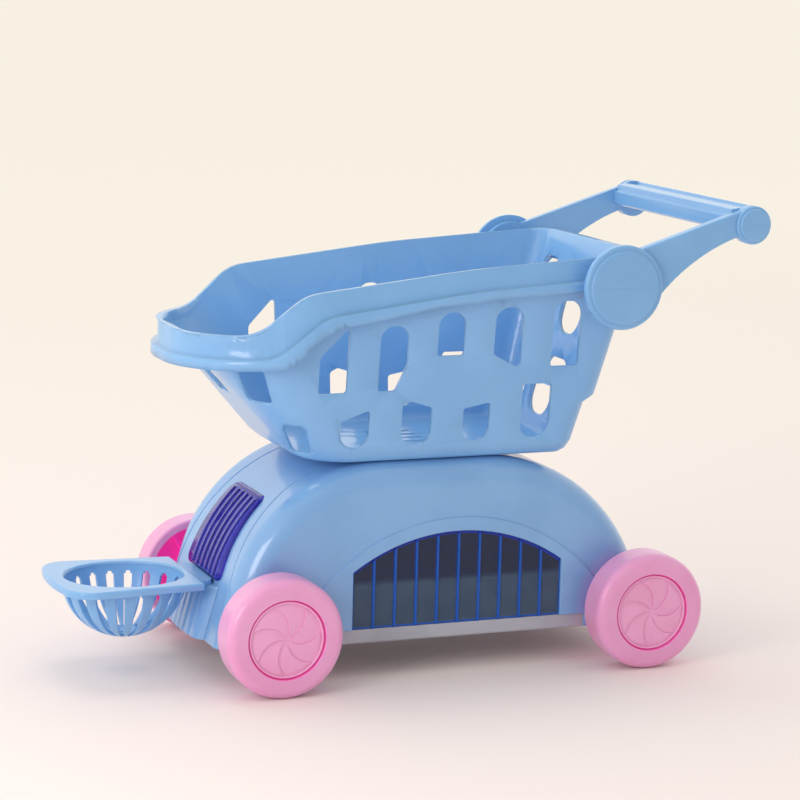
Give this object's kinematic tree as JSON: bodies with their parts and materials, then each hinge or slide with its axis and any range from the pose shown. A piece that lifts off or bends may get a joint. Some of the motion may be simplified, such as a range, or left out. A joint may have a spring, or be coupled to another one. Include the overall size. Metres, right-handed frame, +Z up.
{
  "type": "shopping cart",
  "caption": "Toy shopping cart: a slotted basket with a swinging handle on a car-shaped chassis that rolls on wheels, with a small bowl basket at the nose.",
  "frame": {"origin": "middle of the overall length and width, on the floor under the wheels", "axes": "+X towards the handle, +Y towards the cart's side away from the front left, +Z up"},
  "size_m": [0.3344, 0.151, 0.2207],
  "materials": {
    "body_plastic": "satin",
    "basket_plastic": "satin",
    "wheel_plastic": "satin",
    "cap_plastic": "satin",
    "base_plastic": "satin",
    "window_plastic": "clear",
    "screen_plastic": "clear",
    "steel": "bright"
  },
  "bodies": {
    "cart": {"base_tray": "base_plastic", "base_screws": "steel", "left_side_shell": "body_plastic", "right_side_shell": "body_plastic", "centre_cover": "body_plastic", "front_bumper": "body_plastic", "windscreen": "screen_plastic", "left_window": "window_plastic", "right_window": "window_plastic", "basket": "basket_plastic", "basket_screws": "steel", "pivot_pins": "basket_plastic", "small_basket": "basket_plastic"},
    "front_wheels": {"front_axle": "steel", "front_left_wheel": "wheel_plastic", "front_right_wheel": "wheel_plastic", "front_left_hub_cap": "cap_plastic", "front_right_hub_cap": "cap_plastic"},
    "rear_wheels": {"rear_axle": "steel", "rear_left_wheel": "wheel_plastic", "rear_right_wheel": "wheel_plastic", "rear_left_hub_cap": "cap_plastic", "rear_right_hub_cap": "cap_plastic"},
    "handle": {"left_arm": "basket_plastic", "right_arm": "basket_plastic", "grip_bar": "basket_plastic", "left_grip_cap": "basket_plastic", "right_grip_cap": "basket_plastic", "left_pivot_disc": "basket_plastic", "right_pivot_disc": "basket_plastic"}
  },
  "joints": [
    {"name": "front_axle_spin", "type": "hinge", "parent": "cart", "child": "front_wheels", "pos_m": [-0.07618, 0, 0.028], "axis": [0, 1, 0], "continuous": true},
    {"name": "rear_axle_spin", "type": "hinge", "parent": "cart", "child": "rear_wheels", "pos_m": [0.10782, 0, 0.028], "axis": [0, 1, 0], "continuous": true},
    {"name": "handle_fold", "type": "hinge", "parent": "cart", "child": "handle", "pos_m": [0.09003, 0, 0.1835], "axis": [0, -1, 0], "range_deg": [0, 130]}
  ]
}
